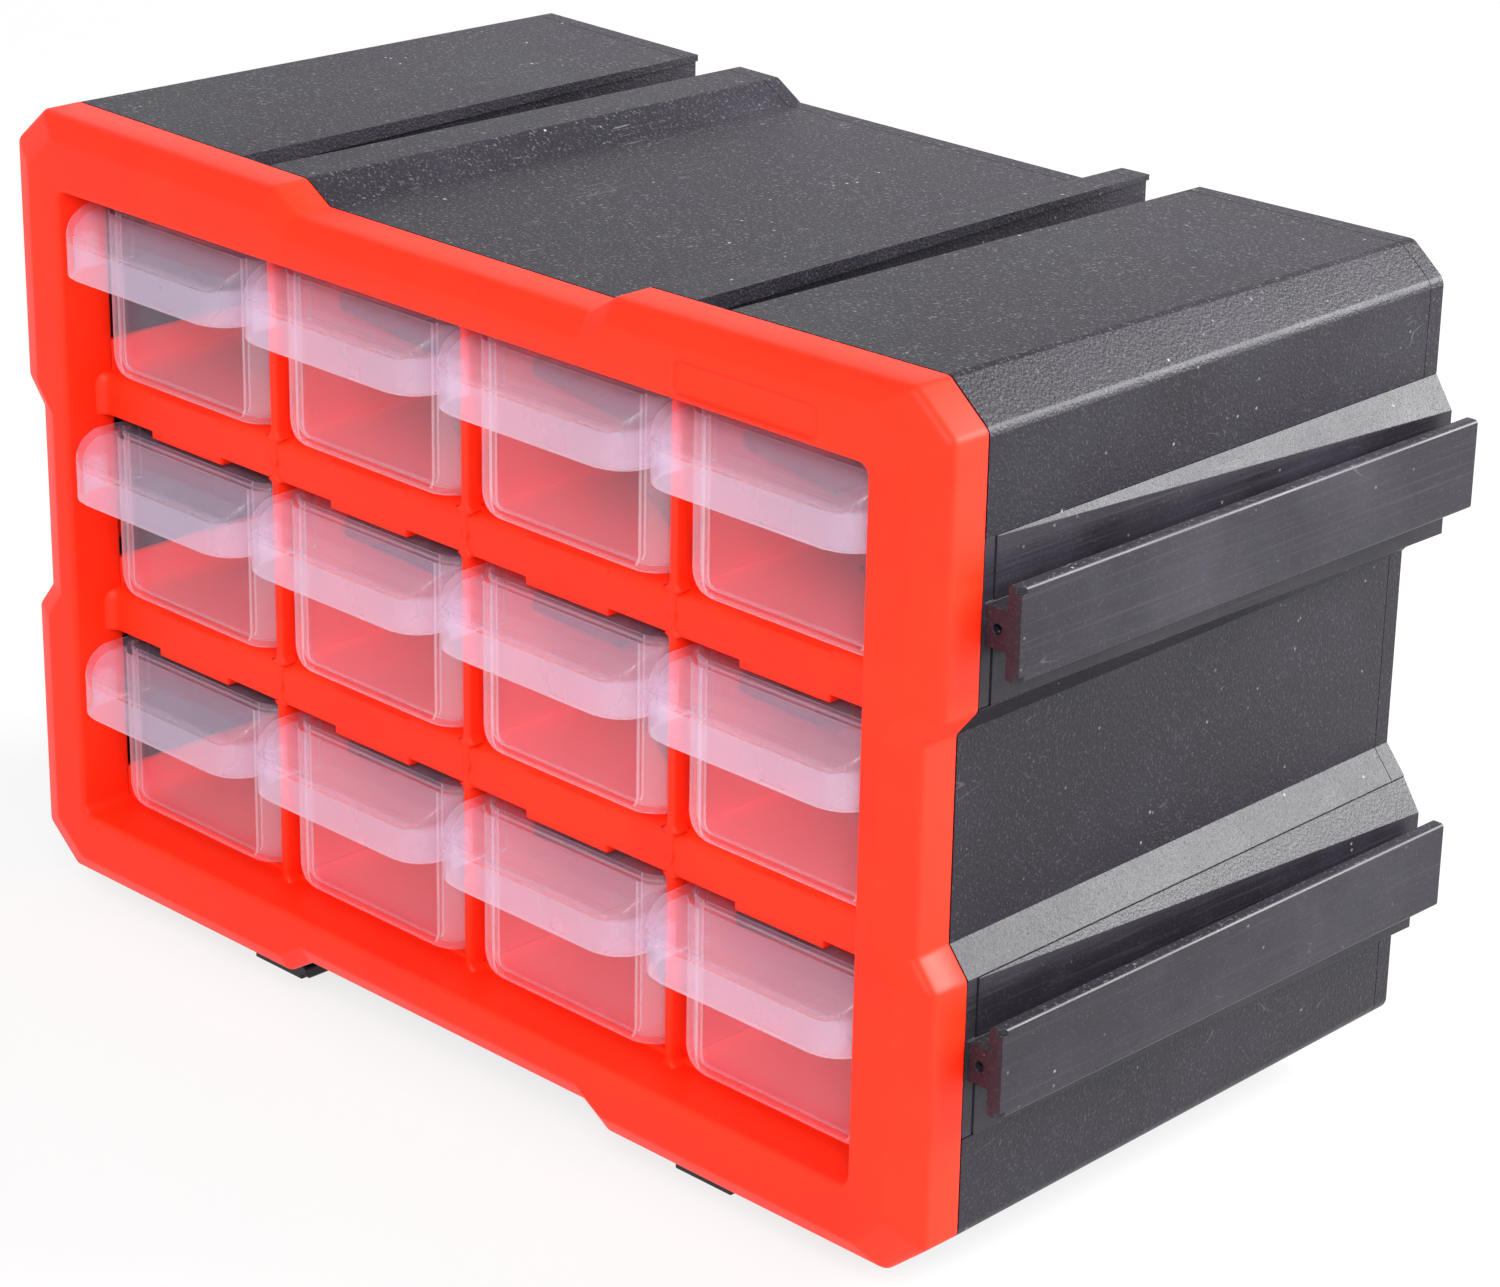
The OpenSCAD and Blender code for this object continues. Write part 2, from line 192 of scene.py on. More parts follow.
def boolean(me, other, operation):
    """Exact boolean of two meshes; returns a new mesh."""
    a = add_object("work_a", me)
    b = add_object("work_b", other)
    mod = a.modifiers.new("cut", "BOOLEAN")
    mod.operation, mod.solver, mod.object = operation, "EXACT", b
    bpy.context.view_layer.update()
    done = bpy.data.meshes.new_from_object(a.evaluated_get(bpy.context.evaluated_depsgraph_get()))
    bpy.data.objects.remove(a)
    bpy.data.objects.remove(b)
    return done


def tidy(me, angle=1.5, dist=2e-6):
    """Welds points within dist metres and joins faces within angle degrees."""
    bm = bmesh.new()
    bm.from_mesh(me)
    bmesh.ops.remove_doubles(bm, verts=bm.verts, dist=dist)
    bmesh.ops.dissolve_degenerate(bm, edges=bm.edges, dist=dist)
    bmesh.ops.dissolve_limit(
        bm, angle_limit=math.radians(angle), verts=bm.verts, edges=bm.edges, use_dissolve_boundaries=False
    )
    bmesh.ops.recalc_face_normals(bm, faces=bm.faces)
    bm.to_mesh(me)
    bm.free()
    return me


def shade(ob, smooth):
    """Smooth shading, with edges sharper than smooth degrees kept."""
    ob.data.shade_smooth()
    ob.data.set_sharp_from_angle(angle=math.radians(smooth))


def round_edges(ob, width, segments, smooth, weld=False, **settings):
    """Rounds the edges that the settings pick, and evens the shading."""
    mod = ob.modifiers.new("rounded edges", "BEVEL")
    mod.width, mod.segments, mod.miter_outer = width / 1000, segments, "MITER_ARC"
    for key, value in settings.items():
        setattr(mod, key, value)
    if weld:
        ob.modifiers.new("welded", "WELD").merge_threshold = 2e-5
    shade(ob, smooth)
    even = ob.modifiers.new("even shading", "WEIGHTED_NORMAL")
    even.keep_sharp = True


def rounded_box(x0, y0, z0, x1, y1, z1, r, axis):
    """A box whose edges along an axis are rounded."""
    spans = {
        "x": ((y0, z0), (y1, z1), x0, x1),
        "y": ((x0, z0), (x1, z1), y0, y1),
        "z": ((x0, y0), (x1, y1), z0, z1),
    }
    (a, b), (c, d), lo, hi = spans[axis]
    return prism(axis, fillet([(a, b), (c, b), (c, d), (a, d)], r, 3), lo, hi)


# ------------------------------------------------------------------ outlines
def body_outline(side, top, cs=1.0, spread=0.0):
    """The housing's outline from the front, clockwise from the top right; side and top move it in."""
    w, h = HALF_W - side, HALF_H - top
    cx, cz = CHAMFER_W * cs, CHAMFER_H * cs
    z1 = 25.3 + spread
    z2 = z1 - 5.6
    x1 = 47.0 + spread
    x2 = x1 - 6.7
    f = CROWN * (w - cx - x1) / 71.0
    s, t = RECESS_SIDE, RECESS_TOP
    return [
        (w - cx, h), (w, h - cz), (w, z1), (w - s, z2), (w - s, -z2), (w, -z1), (w, cz - h), (w - cx, -h),
        (x1, -h), (x2, t - h), (-x2, t - h), (-x1, -h), (cx - w, -h), (-w, cz - h), (-w, -z1), (s - w, -z2),
        (s - w, z2), (-w, z1), (-w, h - cz), (cx - w, h),
        (-x1, h - f), (-x2, h - f - t), (x2, h - f - t), (x1, h - f),
    ]


def rect(hw, hh, r, cx=0.0, cz=0.0):
    """A rounded rectangle of half sizes hw and hh."""
    corners = [(cx + hw, cz + hh), (cx + hw, cz - hh), (cx - hw, cz - hh), (cx - hw, cz + hh)]
    return fillet(corners, r, 6)


# ------------------------------------------------------------------ front frame
def ring_mesh():
    """The red frame: softly bevelled outside, rounded opening, shallow bare plaque."""
    bevel_w, bevel_top, side_d = 7.0, 4.5, 9.0
    depth = FRAME_DEPTH
    outer = [(0.4, 0.0), (0.0, -0.4)]
    crease = fillet([(0.0, 0.0), (0.0, -side_d), (bevel_w, -depth), (40.0, -depth)], [0, 2.0, 2.4, 0], 5)
    outer += [tuple(p) for p in crease[1:-1]]
    loops = []
    for s, y in outer:
        u = s / bevel_w
        outline = fillet(body_outline(s, bevel_top * u, 1 - 0.11 * min(u, 1.2)), 1.8, 4)
        loops.append([(p[0], y, p[1]) for p in outline])
    # pairs of how far out and how deep: the rounded rim of the opening, then its drafted wall
    inner = [
        (0.9, -depth), (0.7, -depth + 0.02), (0.42, -11.87), (0.2, -11.66), (0.06, -11.35), (0.0, -11.0),
        (-0.15, -0.5), (0.1, 0.0),
    ]
    holes = [
        [(p[0], y, p[1]) for p in rect(OPEN_W + o, OPEN_H + 0.2 + o, 2.2 + max(o, 0))]
        for o, y in inner
    ]
    parts = [loft(loops, (False, False)), loft(holes, (False, False))]
    # the same for the plaque: a low rib around a sunk field
    plaque = [
        (0.12, -depth), (0.0, -12.02), (-0.9, -12.4), (-1.02, -12.43), (-1.14, -12.4), (-1.24, -12.0),
        (-1.32, -11.85), (-1.5, -11.8),
    ]
    marks = [
        [(p[0], y, p[1]) for p in rect(18.2 + o, 3.86 + 0.66 * o, 2.6 + o, 82.3, 72.7 + 0.34 * o)]
        for o, y in plaque
    ]
    parts.append(loft(marks, (False, True)))

    def flat(rings):
        """The flat face between rings."""
        tris = geometry.tessellate_polygon([[Vector((p[0], p[2], 0)) for p in ring] for ring in rings])
        return [p for ring in rings for p in ring], [tuple(t) for t in tris]

    parts.append(flat([loops[-1], holes[0], marks[0]]))
    parts.append(flat([loops[0], holes[-1]]))
    return merge(parts)


def tongue_parts():
    """The four tongues that locate the frame in the housing."""
    top = HALF_H - CROWN - RECESS_TOP - WALL - FIT
    low = HALF_H - RECESS_TOP - WALL - FIT
    side = HALF_W - RECESS_SIDE - WALL - FIT
    return [
        rounded_box(-30, -1, top - 1.8, 30, 7, top, 0.4, "x"),
        rounded_box(-30, -1, -low, 30, 7, -low + 1.8, 0.4, "x"),
        rounded_box(-side, -1, -12, -side + 1.8, 7, 12, 0.4, "z"),
        rounded_box(side - 1.8, -1, -12, side, 7, 12, 0.4, "z"),
    ]


def column(c):
    """Middle of a drawer column, 0 to 3."""
    return (c - 1.5) * COL


def rim_z(r):
    """Rim height of a drawer row, 0 to 2."""
    return FLOOR_TOP + FIT - r * ROW + DRAWER_H


def tab_parts(r, height):
    """The stop tabs over one row of drawers."""
    z, half = rim_z(r) + 0.9, 11
    return [
        rounded_box(column(c) - half, -LIP_FRONT, z, column(c) + half, 1.4, z + height, 0.3, "x")
        for c in range(4)
    ]


def divider_mesh(x):
    """A divider with windows and a rounded front edge, flared where it meets the lips and the frame."""
    low, half = FLOOR_TOP - 2 * ROW, 0.95
    holes = []
    for r in range(3):
        z = FLOOR_TOP - r * ROW
        window = [(14, z + 23), (40, z + 7), (106, z + 7), (106, z + 26.8), (14, z + 26.8)]
        holes.append(fillet(window, 1.5, 3))
    plate = [(-0.6, low), (SHELF_BACK, low), (SHELF_BACK, 68.4), (-0.6, 68.4)]
    web = make_mesh("web", *prism("x", plate, x - half + 0.02, x + half - 0.02, holes))

    # seats are pairs of height and direction in which the flare thins out
    seats = [(-68.0, 1, 2.2), (68.0, -1, 2.2)]
    for r in (0, 1):
        top = FLOOR_TOP - r * ROW
        seats += [(top - 0.1, 1, 1.7), (top - LIP_H, -1, 1.2), (top - 0.1, -1, 0.0)]
    levels = set(np.round(np.linspace(-68.0, 68.0, 137), 3))
    for z0, way, rad in seats:
        levels |= {round(z0 + way * rad * (1 - math.cos(t)), 3) for t in np.linspace(0, math.pi / 2, 8)}

    def flare(z):
        """How much wider the front edge is at height z."""
        wide = 0.0
        for z0, way, rad in seats:
            d = (z - z0) * way
            if 0 <= d < rad:
                wide = max(wide, rad - math.sqrt(rad**2 - (rad - d) ** 2))
        return wide

    loops = []
    for z in sorted(levels):
        w = half + flare(z)
        y0, y1 = -3.0, 0.6
        ring = fillet([(x - w, y1), (x - w, y0), (x + w, y0), (x + w, y1)], [0.02, 0.85, 0.85, 0.02], 5)
        loops.append([(p[0], p[1], z) for p in ring])
    nose = make_mesh("nose", *loft(loops))
    return boolean(nose, web, "UNION")


def shelf_mesh(r):
    """A shelf: plate with windows, end curbs, and, above another row, the rounded lip and stop tabs."""
    z = FLOOR_TOP - r * ROW
    half = OPEN_W + 1.8
    holes = []
    for c in range(4):
        x = column(c)
        holes.append(fillet([(x - 12.9, 30), (x + 12.9, 14), (x + 12.9, 106), (x - 12.9, 106)], 1.5, 3))
    plate = [(-half, 0), (half, 0), (half, SHELF_BACK), (-half, SHELF_BACK)]
    me = make_mesh("plate", *prism("z", plate, z - SHELF_T, z, holes))
    for s in (-1, 1):
        x = s * (OPEN_W + 1.0)
        curb = rounded_box(x - 0.9, 0.02, z - SHELF_T + 0.02, x + 0.9, SHELF_BACK - 0.02, z + 6.2, 0.5, "y")
        me = boolean(me, make_mesh("curb", *curb), "UNION")
    if r == 2:
        return me
    # the lip swells forward at both ends, where it runs into the frame
    end, rad = OPEN_W + 0.4, 2.6
    steps = [0] + [0.4 + rad * (1 - math.cos(t)) for t in np.linspace(0, math.pi / 2, 8)]
    xs = sorted({s * (end - d) for s in (-1, 1) for d in steps})
    loops = []
    for x in xs:
        d = max(end - abs(x) - 0.4, 0.0)
        out = rad - math.sqrt(rad**2 - (rad - d) ** 2) if d < rad else 0.0
        f = -LIP_FRONT - out
        under = z - SHELF_T
        lip = fillet(
            [(f, z - LIP_H), (f, z), (3.6, z), (3.6, under), (-0.7, under), (-0.7, z - LIP_H)],
            [0.7, 2.6, 0.1, 0.1, 0.9, 0.5], 6,
        )
        loops.append([(x, p[0], p[1]) for p in lip])
    me = boolean(me, make_mesh("lip", *loft(loops)), "UNION")
    tab_h = 2.25 + LIP_H - 0.9 - 0.8
    for tab in tab_parts(r + 1, tab_h):
        me = boolean(me, make_mesh("tab", *tab), "UNION")
    return me


def gate_marks(x):
    """Small round marks of the moulding where a divider crosses the lips."""
    parts = []
    for r in (0, 1):
        z = FLOOR_TOP - r * ROW - 5.2
        loops = []
        for rad, y in ((1.0, -2.5), (1.0, -2.98), (0.85, -3.08), (0.5, -3.1), (0.4, -3.04), (0.2, -3.0)):
            loops.append([
                (x + rad * math.cos(t), y, z + rad * math.sin(t))
                for t in np.linspace(0, 2 * math.pi, 20, endpoint=False)
            ])
        parts.append(loft(loops))
    return parts


# ------------------------------------------------------------------ drawers
def drawer_mesh():
    """One clear drawer at column 0 with its bottom at z 0: tub, handle hood and stop lug in one skin."""
    wall, y0, y1 = 1.3, DRAWER_FRONT, DRAWER_BACK
    corner_front, corner_back = 7.0, 4.0

    def plan(t, side, end, z):
        """The tub's outline at height z, moved in by the wall t and by side and end."""
        w = DRAWER_W - t - side
        rf, rb = max(corner_front - t - end, 1.0), max(corner_back - t - end, 0.8)
        a, b = y0 + t + end, y1 - t - end
        return [(p[0], p[1], z) for p in fillet([(w, b), (w, a), (-w, a), (-w, b)], [rb, rf, rf, rb], 18)]

    def curve(t, r_side, r_end):
        """The rounded lower edges, from the bottom up."""
        steps = []
        for k in range(8):
            q = math.radians(90 * k / 7)
            z = r_side * (1 - math.cos(q))
            end = r_end - math.sqrt(max(r_end**2 - (r_end - min(z, r_end)) ** 2, 0))
            steps.append((r_side * (1 - math.sin(q)), end, z + t))
        return steps

    loops = [plan(0, side, end, z) for side, end, z in curve(0, 4.5, 1.8)]
    h = DRAWER_H
    outer = [(0, h - 0.35), (0.1, h - 0.1), (0.35, h)]
    for t, z in outer + [(wall - t, z) for t, z in outer[::-1]]:
        loops.append(plan(t, 0, 0, z))
    inside = [plan(wall, side, end, z) for side, end, z in curve(wall, 3.2, 1.0)]
    loops += inside[::-1]
    tub = make_mesh("tub", *loft(loops))

    hollow = [plan(wall + 0.02, 0, 0, z) for z in (5.0, 60.0)]
    hollow = make_mesh("hollow", *loft(hollow))

    def hood_solid(t, low):
        """The hood's outside, or with the wall t its inside: curved roof, upright flange, rounded plan."""
        f, top = y0 - 10.7 + t, h - 0.05 - t
        crease = h - FLANGE_H + CREASE_RISE - 0.7 * t
        rim = y0 - 2.5
        roof = []
        for k in range(1, 8):
            u = k / 8
            roof.append((f + (rim - f) * u, crease + (top - crease) * u + 0.6 * math.sin(math.pi * u)))
        back = 5.0 + t
        pts = [(f, low), (f, crease)] + roof + [(rim, top), (back, top), (back, low)]
        radii = [0.01, 0] + [0] * len(roof) + [1.2, 0.01, 0.01]
        side = make_mesh("side", *prism("x", fillet(pts, radii, 4), -40, 40))
        w = DRAWER_W - 0.1 - t
        corner = corner_front - t
        out = fillet([(w, back), (w, f), (-w, f), (-w, back)], [0.01, corner, corner, 0.01], 12)
        return boolean(side, make_mesh("plan", *prism("z", out, low - 5, 60)), "INTERSECT")

    hood = boolean(hood_solid(0, h - FLANGE_H), hood_solid(wall, h - 16.0), "DIFFERENCE")
    hood = boolean(hood, hollow, "DIFFERENCE")
    lug = make_mesh("lug", *rounded_box(-6, y1 - 2, h - 3, 6, y1 - 0.05, h + 1.6, 0.5, "x"))
    me = tidy(boolean(boolean(tub, hood, "UNION"), lug, "UNION"), 0.3)
    # paler plastic where the wall is seen edge on, which paints the bright highlight lines: the flange's
    # lower edge and the borders of the rounded corners
    for mat in (CLEAR, EDGE_HIGHLIGHT, CORNER_HIGHLIGHT):
        me.materials.append(mat)
    for f in me.polygons:
        y, z = f.center.y * 1000 - SHIFT[1], f.center.z * 1000 - SHIFT[2]
        lean = abs(f.normal.y)
        low = f.normal.z < -0.7 and abs(z - h + FLANGE_H) < 0.3 and y < 5
        face = y0 - 0.1 < y < 4.2 and z < h - 0.4
        if low or face and 0.9985 < lean < 0.9999:
            f.material_index = 1
        elif face and 0.08 < lean <= 0.9985:
            f.material_index = 2
    return me


# ------------------------------------------------------------------ black pieces from the exact frame
def cad_copy(name):
    """The exact mesh of a node, without its materials."""
    me = frame["nodes"][name].data.copy()
    me.materials.clear()
    return tidy(me)


def weigh(me, fine, lo):
    """Bevel weights over the angle lo: 1 along the depth, fine elsewhere, none at the groove."""
    steep = 62
    bm = bmesh.new()
    bm.from_mesh(me)
    layer = bm.edges.layers.float.new("bevel_weight_edge")
    for e in bm.edges:
        if len(e.link_faces) != 2:
            continue
        a = math.degrees(e.calc_face_angle(0))
        if a < lo:
            continue
        d = (e.verts[0].co - e.verts[1].co).normalized()
        if all(abs(v.co.y * 1000 - SHIFT[1] - GROOVE_Y - GROOVE_W / 2) < 0.4 for v in e.verts):
            continue
        e[layer] = 1.0 if abs(d.y) > 0.97 and a < steep else fine
    bm.to_mesh(me)
    bm.free()


def rounding_tool():
    """The housing's outline a hair outside its faces, its open corners rounded, tapering like the housing."""
    big, small = 3.4, 1.8
    radii = [
        big, big, 0, 0, 0, 0, big, big, 0, 0, 0, 0,
        big, big, small, 0, 0, small, big, big, big, 0, 0, big,
    ]
    loops = []
    for y in (-6.0, DEPTH + 0.6):
        lean = DRAFT * y / DEPTH - 0.03
        outline = body_outline(lean, lean, 1 - 0.179 * y / DEPTH, -0.06)
        loops.append([(p[0], y, p[1]) for p in fillet(outline, radii, 6)])
    return make_mesh("rounding", *loft(loops))


def housing_mesh():
    """The tapered shell with rounded long edges and the fine step near its back edge."""
    me = boolean(cad_copy("housing"), rounding_tool(), "INTERSECT")
    y, lean = GROOVE_Y, 2.03
    outside = body_outline(lean - 3, lean - 3)
    inside = body_outline(lean + 0.1, lean + 0.1, 1 - lean * 0.05, lean * 0.5)
    me = boolean(me, make_mesh("groove", *prism("y", outside, y, y + GROOVE_W, [inside])), "DIFFERENCE")
    return tidy(me)


def rail_mesh(name, s):
    """A rail; its strip starts behind a low collar and a fine gap."""
    me = cad_copy(name)
    if name.startswith("side"):
        mid = s * RAIL_MID
        for a, b in ((-RAIL_HALF, -3.9), (3.9, RAIL_HALF)):
            for x, y0, y1 in ((HALF_W - 0.45, 2.45, 2.85), (HALF_W - 0.15, -1.0, 2.5)):
                box = rounded_box(x, y0, mid + a, HALF_W + 1, y1, mid + b, 0, "x")
                me = boolean(me, make_mesh("gap", *box), "DIFFERENCE")
    return tidy(me, 0.6)


# ------------------------------------------------------------------ materials
def material(name):
    """A new node material, its tree and its output."""
    mat = bpy.data.materials.new(name)
    mat.use_nodes = True
    nt = mat.node_tree
    nt.nodes.clear()
    out = nt.nodes.new("ShaderNodeOutputMaterial")
    return mat, nt, out


def node(nt, kind, **values):
    n = nt.nodes.new(kind)
    for key, value in values.items():
        setattr(n, key, value)
    return n


def link(nt, a, b):
    nt.links.new(a, b)


def coords(nt, scale=(1, 1, 1), turn=(0, 0, 0)):
    """Object space, scaled and turned."""
    tc = node(nt, "ShaderNodeTexCoord")
    mp = node(nt, "ShaderNodeMapping")
    mp.inputs["Scale"].default_value = scale
    mp.inputs["Rotation"].default_value = turn
    link(nt, tc.outputs["Object"], mp.inputs["Vector"])
    return mp.outputs["Vector"]


def split(nt, vector):
    """The X, Y and Z of a vector."""
    n = node(nt, "ShaderNodeSeparateXYZ")
    link(nt, vector, n.inputs[0])
    return n.outputs


def noise(nt, vector, scale, detail, rough=0.55, distortion=0.0):
    n = node(nt, "ShaderNodeTexNoise")
    n.inputs["Scale"].default_value = scale
    n.inputs["Detail"].default_value = detail
    n.inputs["Roughness"].default_value = rough
    n.inputs["Distortion"].default_value = distortion
    link(nt, vector, n.inputs["Vector"])
    return n.outputs["Fac"]


def cells(nt, vector, scale, feature):
    """Distance to the middle of the nearest cell."""
    n = node(nt, "ShaderNodeTexVoronoi", feature=feature)
    n.inputs["Scale"].default_value = scale
    link(nt, vector, n.inputs["Vector"])
    return n.outputs["Distance"]


def remap(nt, value, a, b, c=0.0, d=1.0):
    """The range a to b, mapped to c to d and clamped."""
    n = node(nt, "ShaderNodeMapRange")
    for key, v in zip(("From Min", "From Max", "To Min", "To Max"), (a, b, c, d)):
        n.inputs[key].default_value = v
    link(nt, value, n.inputs["Value"])
    return n.outputs["Result"]


def math_node(nt, op, a, b):
    n = node(nt, "ShaderNodeMath", operation=op)
    for i, v in enumerate((a, b)):
        if isinstance(v, (int, float)):
            n.inputs[i].default_value = v
        else:
            link(nt, v, n.inputs[i])
    return n.outputs[0]


def times(nt, a, b):
    return math_node(nt, "MULTIPLY", a, b)


def plus(nt, a, b):
    return math_node(nt, "ADD", a, b)


def mix_colour(nt, fac, a, b):
    n = node(nt, "ShaderNodeMix", data_type="RGBA")
    for socket, v in ((n.inputs["Factor"], fac), (n.inputs[6], a), (n.inputs[7], b)):
        if isinstance(v, tuple):
            socket.default_value = (*v, 1.0)
        else:
            link(nt, v, socket)
    return n.outputs[2]


def bump(nt, height, strength, distance, normal=None):
    n = node(nt, "ShaderNodeBump")
    n.inputs["Strength"].default_value = strength
    n.inputs["Distance"].default_value = distance
    link(nt, height, n.inputs["Height"])
    if normal is not None:
        link(nt, normal, n.inputs["Normal"])
    return n.outputs["Normal"]


def soft_edge(nt, radius, samples):
    """A normal that is rounded over the junctions of pieces."""
    n = node(nt, "ShaderNodeBevel")
    n.samples = samples
    n.inputs["Radius"].default_value = radius
    return n.outputs["Normal"]


def shader(nt, kind, colour=None, normal=None):
    """A plain shader: Diffuse, Glossy, Translucent or Transparent."""
    n = node(nt, "ShaderNodeBsdf" + kind)
    if colour:
        n.inputs["Color"].default_value = (*colour, 1)
    if normal is not None:
        link(nt, normal, n.inputs["Normal"])
    return n


def mix_shader(nt, fac, a, b):
    """Shader a where fac is 0, b where it is 1."""
    n = node(nt, "ShaderNodeMixShader")
    if isinstance(fac, float):
        n.inputs["Fac"].default_value = fac
    else:
        link(nt, fac, n.inputs["Fac"])
    link(nt, a.outputs[0], n.inputs[1])
    link(nt, b.outputs[0], n.inputs[2])
    return n


def plastic(nt, out, colour, roughness, normal):
    """An opaque plastic on the output; returns its shader."""
    p = node(nt, "ShaderNodeBsdfPrincipled")
    link(nt, colour, p.inputs["Base Color"])
    link(nt, roughness, p.inputs["Roughness"])
    link(nt, normal, p.inputs["Normal"])
    link(nt, p.outputs[0], out.inputs["Surface"])
    return p


DUST = (0.6, 0.6, 0.62)
# the film's colour: partly dust, partly a painted sheen on the tops towards the back
DUST_FILM_AND_SHEEN = (0.070, 0.062, 0.084)
LINT = (0.40, 0.38, 0.43)
SCRATCH = (0.4, 0.4, 0.42)
SALT = (0.15, 0.135, 0.17)
SCRATCH_WAYS = (
    ((0.3, 0.2, 0.5), (420.0, 26.0, 150.0)),
    ((0.1, 0.5, 1.3), (380.0, 20.0, 130.0)),
)


def black_plastic(name, base, light, rough, streaks=False):
    """Dark moulded plastic: fine grain, rubbed patches, dust with a painted sheen towards the back, faint
    scratches, and drag lines if streaks.
    """
    mat, nt, out = material(name)
    obj = coords(nt)
    grain = noise(nt, obj, 2300.0, 2.0, 0.7)
    pebble = cells(nt, obj, 1700.0, "SMOOTH_F1")
    cloud = noise(nt, obj, 22.0, 4.0, 0.6)
    rub = remap(nt, cloud, 0.42, 0.72)
    colour = mix_colour(nt, times(nt, rub, 0.5), base, light)
    # dust: tiny pale specks, only in some cells, and more on the faces that look up
    near = remap(nt, cells(nt, obj, 330.0, "F1"), 0.06, 0.13, 1.0, 0.0)
    some = remap(nt, noise(nt, obj, 95.0, 2.0), 0.57, 0.66)
    facing = split(nt, node(nt, "ShaderNodeTexCoord").outputs["Normal"])
    up = remap(nt, facing["Z"], 0.6, 0.95)
    speck = times(nt, times(nt, near, some), remap(nt, up, 0.0, 1.0, 0.3, 0.8))
    colour = mix_colour(nt, speck, colour, DUST)
    # a film of dust on the same faces, thicker towards the back, and lint; the film also paints the sheen
    # that brightens the tops towards the back
    back = remap(nt, split(nt, obj)["Y"], -0.05, 0.06)
    dust_and_sheen = times(nt, back, remap(nt, cloud, 0.3, 0.65, 0.2, 1.0))
    colour = mix_colour(nt, times(nt, dust_and_sheen, remap(nt, up, 0.0, 1.0, 0.03, 0.24)), colour, DUST_FILM_AND_SHEEN)
    lint = remap(nt, noise(nt, obj, 1400.0, 1.0, 0.6), 0.60, 0.76)
    colour = mix_colour(nt, times(nt, times(nt, lint, up), 0.28), colour, LINT)
    # scratches: thin short lines in two directions
    lines = None
    for turn, scale in SCRATCH_WAYS:
        wave = noise(nt, coords(nt, scale, turn), 1.0, 1.0, 0.5, 0.4)
        edge = math_node(nt, "ABSOLUTE", math_node(nt, "SUBTRACT", wave, 0.5), 0.0)
        thin = remap(nt, edge, 0.0, 0.004, 1.0, 0.0)
        mask = remap(nt, noise(nt, obj, 60.0 + 21 * turn[2], 2.0), 0.62, 0.66)
        one = times(nt, thin, mask)
        lines = one if lines is None else math_node(nt, "MAXIMUM", lines, one)
    colour = mix_colour(nt, times(nt, lines, remap(nt, up, 0.0, 1.0, 0.1, 0.4)), colour, SCRATCH)
    # salt: fine paler grains left by the mould's texture
    salt = remap(nt, noise(nt, obj, 1700.0, 1.0, 0.6), 0.58, 0.74)
    colour = mix_colour(nt, times(nt, salt, 0.1 if streaks else 0.20), colour, SALT)
    roughness = remap(nt, cloud, 0.3, 0.7, rough - 0.05, rough + 0.07)
    if streaks:
        drag = noise(nt, coords(nt, (1500.0, 14.0, 1500.0)), 1.0, 3.0, 0.65)
        colour = mix_colour(nt, remap(nt, drag, 0.55, 0.72, 0.0, 0.45), colour, light)
        roughness = plus(nt, roughness, remap(nt, drag, 0.35, 0.65, -0.07, 0.09))
        normal = bump(nt, plus(nt, times(nt, grain, 0.12), drag), 0.5, 0.00005)
    else:
        normal = bump(nt, plus(nt, grain, times(nt, pebble, 0.8)), 1.0, 0.00009)
    p = plastic(nt, out, colour, roughness, normal)
    # the film of dust takes gloss away
    link(nt, remap(nt, up, 0.0, 1.0, 0.28, 0.16), p.inputs["Specular IOR Level"])
    return mat


def red_plastic(name):
    """Satin moulded plastic: soft junctions, faint flow clouds and orange peel."""
    mat, nt, out = material(name)
    obj = coords(nt)
    cloud = noise(nt, coords(nt, (18.0, 30.0, 26.0)), 1.0, 4.0, 0.6, 0.8)
    colour = mix_colour(nt, remap(nt, cloud, 0.3, 0.7), (0.95, 0.017, 0.0015), (0.97, 0.026, 0.004))
    peel = noise(nt, obj, 900.0, 2.0, 0.6)
    slow = noise(nt, obj, 70.0, 2.0, 0.5)
    height = plus(nt, times(nt, peel, 0.25), slow)
    normal = bump(nt, height, 0.1, 0.0003, soft_edge(nt, 0.0011, 5))
    p = plastic(nt, out, colour, remap(nt, cloud, 0.3, 0.7, 0.42, 0.52), normal)
    p.inputs["Specular IOR Level"].default_value = 0.22
    return mat


